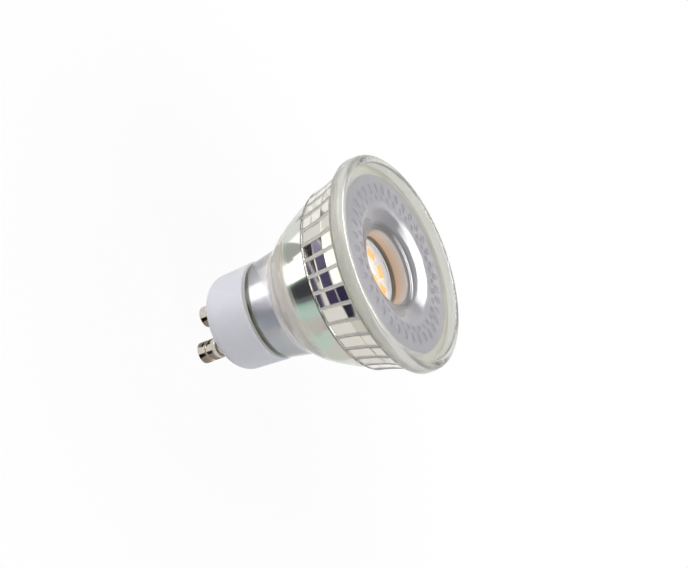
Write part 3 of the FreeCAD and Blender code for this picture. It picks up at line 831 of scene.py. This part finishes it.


# Clear polycarbonate from a polished mould: glossy, faintly lilac, beige on the flange that lies on the bond.
# Its tones up the height carry painted shade, and the dimples get painted shade round their edges. The same
# resin behind is spark frosted, with a grain drawn at 0.3 mm so that it shows.
def polycarbonate(name, rough_low, rough_high, grain_mm, relief, clear, stops):
    """The lens resin: clear over the LEDs, elsewhere by a share; stops are tones up its height, with painted
    shade among them, and dimple edges take painted shade.
    """
    material, tree, output = finish_named(name)
    place = node(tree, "ShaderNodeTexCoord")
    grain = noise(tree, place.outputs["Object"], grain_mm)
    rough = node(tree, "ShaderNodeMapRange", {"Value": grain, "To Min": rough_low, "To Max": rough_high})
    skin = node(tree, "ShaderNodeBump", {"Height": grain, "Strength": relief, "Distance": 0.02 * MM})
    height = node(tree, "ShaderNodeSeparateXYZ", {0: place.outputs["Object"]})
    level = node(
        tree,
        "ShaderNodeMapRange",
        {"Value": height.outputs["Z"], "From Min": throat_floor[1] * MM, "From Max": face_z * MM},
    )
    flat = node(
        tree, "ShaderNodeVectorMath", {0: place.outputs["Object"], 1: (1, 1, 0)}, operation="MULTIPLY"
    )
    radius = node(tree, "ShaderNodeVectorMath", {0: flat.outputs[0]}, operation="LENGTH")
    window = node(
        tree,
        "ShaderNodeMapRange",
        {
            "Value": radius.outputs["Value"],
            "From Min": (throat_floor[0] - 0.2) * MM,
            "From Max": (throat_floor[0] - 0.1) * MM,
            "To Min": 1.0,
            "To Max": clear,
        },
    )
    tint = node(tree, "ShaderNodeValToRGB", {"Fac": level.outputs[0]})
    for (at, code), element in zip((stops[0], stops[-1]), tint.color_ramp.elements):
        element.position, element.color = at, linear(code)
    for at, code in stops[1:-1]:
        tint.color_ramp.elements.new(at).color = linear(code)
    # Painted shade: the edges of each pressed dimple are darkened, and its middle is left pale.
    pressed = node(tree, "ShaderNodeAttribute", attribute_name="pressed")
    painted_dimple_shade = node(tree, "ShaderNodeValToRGB", {"Fac": pressed.outputs["Fac"]})
    painted_dimple_shade.color_ramp.elements[0].color = linear("#FFFFFF")
    painted_dimple_shade.color_ramp.elements[1].color = linear("#F4F4F8")
    for at, code in ((0.08, "#B4B3BC"), (0.35, "#BDBCC6")):
        painted_dimple_shade.color_ramp.elements.new(at).color = linear(code)
    tones = {"Factor": 1.0, "A": tint.outputs["Color"], "B": painted_dimple_shade.outputs["Color"]}
    tone = node(tree, "ShaderNodeMix", tones, data_type="RGBA", blend_type="MULTIPLY")
    past_field = node(
        tree,
        "ShaderNodeMapRange",
        {"Value": radius.outputs["Value"], "From Min": field_r * MM, "From Max": flange_r * MM},
    )
    tones = {"Factor": past_field.outputs[0], "A": tone.outputs["Result"], "B": linear("#E3E2DD")}
    edged = node(tree, "ShaderNodeMix", tones, data_type="RGBA")
    shader = node(
        tree,
        "ShaderNodeBsdfPrincipled",
        {
            "Base Color": edged.outputs["Result"],
            "Roughness": rough.outputs[0],
            "IOR": 1.585,
            "Transmission Weight": window.outputs[0],
            "Normal": skin.outputs[0],
        },
    )
    tree.links.new(shader.outputs[0], output.inputs["Surface"])
    return material


polished = polycarbonate(
    "clear polycarbonate, polished",
    rough_low=0.02,
    rough_high=0.10,
    grain_mm=2.0,
    relief=0.12,
    clear=0.6,
    # A dark band from the throat's top over the lip to the inner half of the dish is painted shade.
    stops=(
        (0, "#FAF9FA"),
        (0.55, "#FAF9FA"),
        (0.60, "#D6D2CE"),
        (0.64, "#7F7E82"),
        (0.70, "#85848A"),
        (0.76, "#C4C3C9"),
        (0.98, "#C8C7CD"),
        (1, "#BFBEC4"),
    ),
)
frosted = polycarbonate(
    "clear polycarbonate, frosted",
    rough_low=0.25,
    rough_high=0.45,
    grain_mm=0.3,
    relief=0.3,
    clear=0.65,
    stops=((0, "#C6C5CA"), (1, "#CCCBD0")),
)
# The throat wall's tones are painted: a dark band of painted shadow at its foot, then a painted orange
# reflection of the phosphor, then pale.
throat = polycarbonate(
    "clear polycarbonate, painted shadow and phosphor reflection",
    rough_low=0.05,
    rough_high=0.15,
    grain_mm=1.0,
    relief=0.1,
    clear=0.3,
    stops=(
        (0, "#625D55"),
        (0.15, "#6E695E"),
        (0.2, "#F7D0A8"),
        (0.42, "#F9E8D6"),
        (0.54, "#F6F0EA"),
        (1, "#F6F0EA"),
    ),
)
lens_values = {"Count": 36.0, "Polished": polished, "Frosted": frosted, "Throat": throat}
# Each row: its radius, where it starts as a share of a step, half width, half length and depth.
pressed_rows = ((17.3, 0.0, 0.75, 1.35, 0.16), (15.2, 0.5, 0.65, 0.7, 0.14))
for row_r, first, half_width, half_length, deep in pressed_rows:
    row_values = {"Row Radius": row_r * MM, "First Share": first, "Depth": deep * MM}
    row_values.update({"Half Width": half_width * MM, "Half Length": half_length * MM})
    grown(lens, dimples, {**lens_values, **row_values})
smoothed(lens, sharp_deg=28)
# Light reaches the LEDs through the lens, so it casts no shadow.
lens.visible_shadow = False
fitted(lens, "clear_polycarbonate", "front_lens")

# Bond, sink, sleeve and driver
# The parts inside the lamp: a silicone bead under the lens, the aluminium cup that carries
# the LED board, its sleeve, and the driver board that hangs in the neck with its parts.
dressed(surface("clear silicone bead", "#DCDAB4", "#E8E6C8", 0.5, 0.2, 0.35), "clear_silicone", "lens_bond")
dressed(surface("grey silicone pad", "#8C9094", "#9EA2A6", 0.4, 0.6, 0.8), "grey_silicone", "thermal_pad")
dressed(surface("spun aluminium", "#B8BABC", "#D2D4D6", 0.5, 0.25, 0.4, 1.0), "bare_aluminium", "heat_sink")
dressed(
    surface("natural polypropylene", "#D9DAD4", "#E6E7E2", 0.8, 0.4, 0.55),
    "natural_polypropylene",
    "insulating_sleeve",
)
dressed(surface("green FR4 laminate", "#2E6B3A", "#3D7F49", 0.7, 0.35, 0.5), "green_fr4", "driver_board")
dressed(
    surface("black heat-shrink sleeve", "#1D1E20", "#2B2C2F", 0.6, 0.4, 0.55),
    "black_sleeve",
    "electrolytic_capacitor",
)
dressed(surface("sintered ferrite", "#3A3B3E", "#4A4B4F", 0.3, 0.55, 0.7), "ferrite", "inductor_core")
dressed(
    surface("enamelled copper wire", "#9C4F22", "#C46E34", 0.3, 0.2, 0.35, 1.0),
    "enamelled_copper",
    "inductor_winding",
)
dressed(
    surface("black moulding epoxy", "#1B1B1C", "#29292B", 0.3, 0.5, 0.65),
    "black_epoxy",
    "bridge_rectifier",
    "driver_chip",
)
dressed(
    surface("yellow polyester wrap", "#D9B23A", "#E6C455", 0.8, 0.3, 0.45),
    "yellow_polyester",
    "film_capacitor",
)
dressed(
    surface("resistor enamel", "#7E9FB0", "#94B2C2", 0.5, 0.3, 0.45), "resistor_enamel", "fusible_resistor"
)
dressed(
    surface("alumina chip", "#D8D6D0", "#E6E4DE", 0.2, 0.4, 0.55),
    "alumina",
    "chip_resistor_1",
    "chip_resistor_2",
)
dressed(
    surface("white PVC wire", "#DDDCD8", "#EBEAE6", 0.6, 0.35, 0.5),
    "wire_insulation",
    "mains_lead_1",
    "mains_lead_2",
    "led_lead_1",
    "led_lead_2",
)

# Studio
# A white floor at the pin tips that stays white to the eye, to metal and to glass, one large
# soft lamp above, a smaller one low before the lens, and cards and a strip that only mirror and
# glass can see.
floor_z = cad_low.z


def seen_white(tree):
    """1 for rays from the eye, a mirror or glass, and 0 for those that only bring light."""
    ray = node(tree, "ShaderNodeLightPath")
    seen = ray.outputs["Is Camera Ray"]
    for kind in ("Is Glossy Ray", "Is Transmission Ray"):
        seen = node(tree, "ShaderNodeMath", {0: seen, 1: ray.outputs[kind]}, operation="MAXIMUM").outputs[0]
    return seen


world = bpy.data.worlds.new("white studio")
bpy.context.scene.world = world
world.use_nodes = True
tree = world.node_tree
tree.nodes.clear()
level = node(tree, "ShaderNodeMapRange", {"Value": seen_white(tree), "To Min": 0.3, "To Max": 1.0})
sky = node(tree, "ShaderNodeBackground", {"Color": (1, 1, 1, 1), "Strength": level.outputs[0]})
tree.links.new(sky.outputs[0], node(tree, "ShaderNodeOutputWorld").inputs["Surface"])

floor_mesh = bpy.data.meshes.new("floor")
reach = 3.0
floor_mesh.from_pydata(
    [(-reach, -reach, floor_z), (reach, -reach, floor_z), (reach, reach, floor_z), (-reach, reach, floor_z)],
    [],
    [(0, 1, 2, 3)],
)
floor = bpy.data.objects.new("floor", floor_mesh)
bpy.context.scene.collection.objects.link(floor)
white_floor, tree, output = finish_named("white paper floor")
place = node(tree, "ShaderNodeTexCoord")
far = node(tree, "ShaderNodeVectorMath", {0: place.outputs["Object"], 1: (1, 1, 0)}, operation="MULTIPLY")
far = node(tree, "ShaderNodeVectorMath", {0: far.outputs[0]}, operation="LENGTH")
fade = node(
    tree,
    "ShaderNodeMapRange",
    {"Value": far.outputs["Value"], "From Min": 0.03, "From Max": 0.12, "To Min": 0.95, "To Max": 1.0},
)
share = node(tree, "ShaderNodeMath", {0: seen_white(tree), 1: fade.outputs[0]}, operation="MULTIPLY")
paper = node(tree, "ShaderNodeBsdfDiffuse", {"Color": linear("#F4F4F4")})
glow = node(tree, "ShaderNodeEmission", {"Color": (1, 1, 1, 1), "Strength": 1.0})
both = node(tree, "ShaderNodeMixShader", {0: share.outputs[0], 1: paper.outputs[0], 2: glow.outputs[0]})
tree.links.new(both.outputs[0], output.inputs["Surface"])
floor_mesh.materials.append(white_floor)

# The cards all glow by the colours stored at their points.
card_glow, tree, output = finish_named("glowing card")
stored = node(tree, "ShaderNodeAttribute", attribute_name="glow")
glow = node(tree, "ShaderNodeEmission", {"Color": stored.outputs["Color"], "Strength": 1.0})
tree.links.new(glow.outputs[0], output.inputs["Surface"])


def hung(name, points, faces, glows):
    """A glowing card that only mirrors and glass can see; glows are its points' (colour, strength)."""
    mesh = bpy.data.meshes.new(name)
    mesh.from_pydata(points, [], faces)
    levels = [c * strength for code, strength in glows for c in linear(code)]
    mesh.attributes.new("glow", "FLOAT_COLOR", "POINT").data.foreach_set("color", levels)
    mesh.materials.append(card_glow)
    made = bpy.data.objects.new(name, mesh)
    bpy.context.scene.collection.objects.link(made)
    made.visible_camera = False
    made.visible_diffuse = False
    made.visible_shadow = False


def card(name, radii_mm, stops, centre_mm=(0, 0)):
    """A card bent round a point just over the floor; stops are degrees, colour and, if not 1, strength."""
    lift = floor_z + 0.05 * MM
    points = []
    glows = []
    full = [(deg, (code, strength[0] if strength else 1.0)) for deg, code, *strength in stops]
    for (from_deg, first), (to_deg, second) in zip(full, full[1:]):
        steps = max(1, round((to_deg - from_deg) / 4))
        for k in range(steps + 1):
            angle = math.radians(from_deg + (to_deg - from_deg) * k / steps)
            for radius in radii_mm:
                x = centre_mm[0] + radius * math.cos(angle)
                y = centre_mm[1] + radius * math.sin(angle)
                points.append((x * MM, y * MM, lift))
                glows.append(first if k / steps < 0.5 else second)
    faces = [(k, k + 1, k + 3, k + 2) for k in range(0, len(points) - 2, 2)]
    hung(name, points, faces, glows)


card(
    "card for the cone",
    (23, 30.5),
    (
        (-200, "#BDBEBC"),
        (-115, "#BDBEBC"),
        (-112, "#D2BFC4", 1.2),
        (-109, "#FFFFFF", 2.2),
        (-80, "#FFFFFF", 2.2),
        (-77, "#8FA39C"),
        (-74, "#66666C"),
        (-64, "#48484E"),
        (-52, "#4C4C52"),
        (-45, "#74767A"),
        (-41, "#A4C0BA"),
        (-36, "#C6DCD6"),
        (-22, "#D2E4E0"),
        (-8, "#DAD8D6"),
        (2, "#DFD3D2"),
        (14, "#D4D6D4"),
        (24, "#D4E4E0"),
        (90, "#D4E4E0"),
    ),
)
card(
    "card for the neck",
    (30.5, 35),
    (
        (-200, "#BDBEBC"),
        (-115, "#BDBEBC"),
        (-111, "#FFFFFF", 4.0),
        (-82, "#FFFFFF", 4.0),
        (-74, "#D4D3E2"),
        (-62, "#D2D4E2"),
        (-36, "#B6B8CA"),
        (-20, "#A6A8B6"),
        (-4, "#C0C8C8"),
        (16, "#DCE8E4"),
        (90, "#DCE8E4"),
    ),
)
front_dark = ((-54, "#464066"), (-34, "#363150"), (-12, "#2B2740"))
card("dark card for the front facets", (35, 43), front_dark)
card("pale card for the front facets", (35, 46), ((-8, "#E6E4E0"), (80, "#E6E4E0")))
card("soft card for the front facets", (35, 46), ((-147, "#FFFFFF", 1.6), (-57, "#FFFFFF", 1.6)))
middle_purple = (
    (-108, "#B2AECA"),
    (-96, "#9C97B6"),
    (-84, "#6E6986"),
    (-72, "#463F60"),
    (-58, "#585274"),
    (-36, "#484264"),
)
card("purple card for the middle facets", (46.5, 52.5), middle_purple)
rear_dark = (
    (-116, "#6A6670"),
    (-102, "#37333C"),
    (-88, "#2E2A34"),
    (-74, "#544E5C"),
    (-60, "#76727A"),
)
card("dark card for the rear facets", (53, 56.5), rear_dark)
card("grey card behind", (47, 53), ((-176, "#A6A3AC"), (-140, "#A6A3AC")))
card("soft card behind", (53, 62), ((-186, "#FFFFFF", 1.25), (-130, "#FFFFFF", 1.25)))
for turn_deg, code in ((0, "#3D3654"), (90, "#A6A3AC"), (180, "#A6A3AC")):
    soft_span = ((turn_deg - 24, "#FFFFFF", 1.25), (turn_deg + 32, "#FFFFFF", 1.25))
    dark_span = ((turn_deg - 14, code), (turn_deg + 22, code))
    card("soft card for low side light", (64, 77), soft_span)
    card("dark card for low side light", (78, 92), dark_span)
for side_x in (-1, 1):
    pin_at = (side_x * abs(pin_x), 0)
    card("dark card by a pin", (2.6, 10), ((-52, "#12100E"), (-24, "#12100E")), pin_at)
    card("grey card by a pin", (2.6, 10), ((-24, "#A29A92"), (110, "#A29A92")), pin_at)

# The camera's place and turn were fitted to the outline and the rim's ellipse.
CAMERA_AZIMUTH = math.radians(-50.0)
AXIS_TILT = math.radians(26.519)
AXIS_ROLL = math.radians(20.547)
CAMERA_AT = Vector((243.15, -289.38, 219.90)) * MM
side = Vector((math.cos(CAMERA_AZIMUTH), math.sin(CAMERA_AZIMUTH), 0))
axis = Vector((0, 0, 1))
toward = side * math.cos(AXIS_TILT) + axis * math.sin(AXIS_TILT)
along = (axis - toward * math.sin(AXIS_TILT)).normalized()
across = toward.cross(along)
right = along * math.cos(AXIS_ROLL) - across * math.sin(AXIS_ROLL)
up = along * math.sin(AXIS_ROLL) + across * math.cos(AXIS_ROLL)


def soft_lamp(name, side_m, watts, far_m, away):
    """A square soft lamp that looks back at the origin from this direction and distance."""
    light = bpy.data.lights.new(name, "AREA")
    light.shape = "RECTANGLE"
    light.size = side_m
    light.size_y = side_m
    light.energy = watts
    made = bpy.data.objects.new(name, light)
    away = away.normalized()
    made.location = away * far_m
    made.rotation_mode = "QUATERNION"
    made.rotation_quaternion = away.to_track_quat("Z", "Y")
    bpy.context.scene.collection.objects.link(made)
    return made


soft_lamp("soft lamp", 0.35, 1.5, 0.55, up * 0.8 + toward * 0.45 - right * 0.25)
front_lamp = soft_lamp("front softbox", 0.2, 0.95, 0.65, axis * 0.9 - up * 0.6 + toward * 0.2)
front_lamp.visible_glossy = False

# A bent strip softbox, hung so that the far side of the dish mirrors it where its slope is 17 to
# 25 degrees; it is brightest in its middle.
STRIP_SLOPES = (17, 25)
STRIP_ROUND = range(121, 214, 4)
STRIP_FAR = 0.5
STRIP_ENDS, STRIP_MIDDLE = 3.0, 20.0
strip = []
for round_deg in STRIP_ROUND:
    turn = math.radians(round_deg)
    outward = side * math.cos(turn) + axis.cross(side) * math.sin(turn)
    for slope in map(math.radians, STRIP_SLOPES):
        facing = axis * math.cos(slope) - outward * math.sin(slope)
        strip.append(tuple((facing * 2 * facing.dot(toward) - toward) * STRIP_FAR))
quads = [(k, k + 1, k + 3, k + 2) for k in range(0, len(strip) - 2, 2)]
shares = [(k // 2) / (len(strip) // 2 - 1) for k in range(len(strip))]
more = STRIP_MIDDLE - STRIP_ENDS
strip_glows = [("#FFFFFF", STRIP_ENDS + more * math.sin(math.pi * share)) for share in shares]
hung("bent strip softbox over the dish", strip, quads, strip_glows)

camera_data = bpy.data.cameras.new("camera")
camera_data.sensor_fit = "HORIZONTAL"
SENSOR_MM = 36.0
PHOTO_WIDE_PX = 688
FOCAL_PX = 1900
camera_data.sensor_width = SENSOR_MM
camera_data.lens = FOCAL_PX / PHOTO_WIDE_PX * SENSOR_MM
camera_data.clip_start = 0.01
camera_data.clip_end = 20.0
camera = bpy.data.objects.new("camera", camera_data)
turn = Matrix((right, up, toward)).transposed().to_4x4()
camera.matrix_world = Matrix.Translation(CAMERA_AT) @ turn
bpy.context.scene.collection.objects.link(camera)
bpy.context.scene.camera = camera

bpy.context.scene.view_settings.view_transform = "Standard"
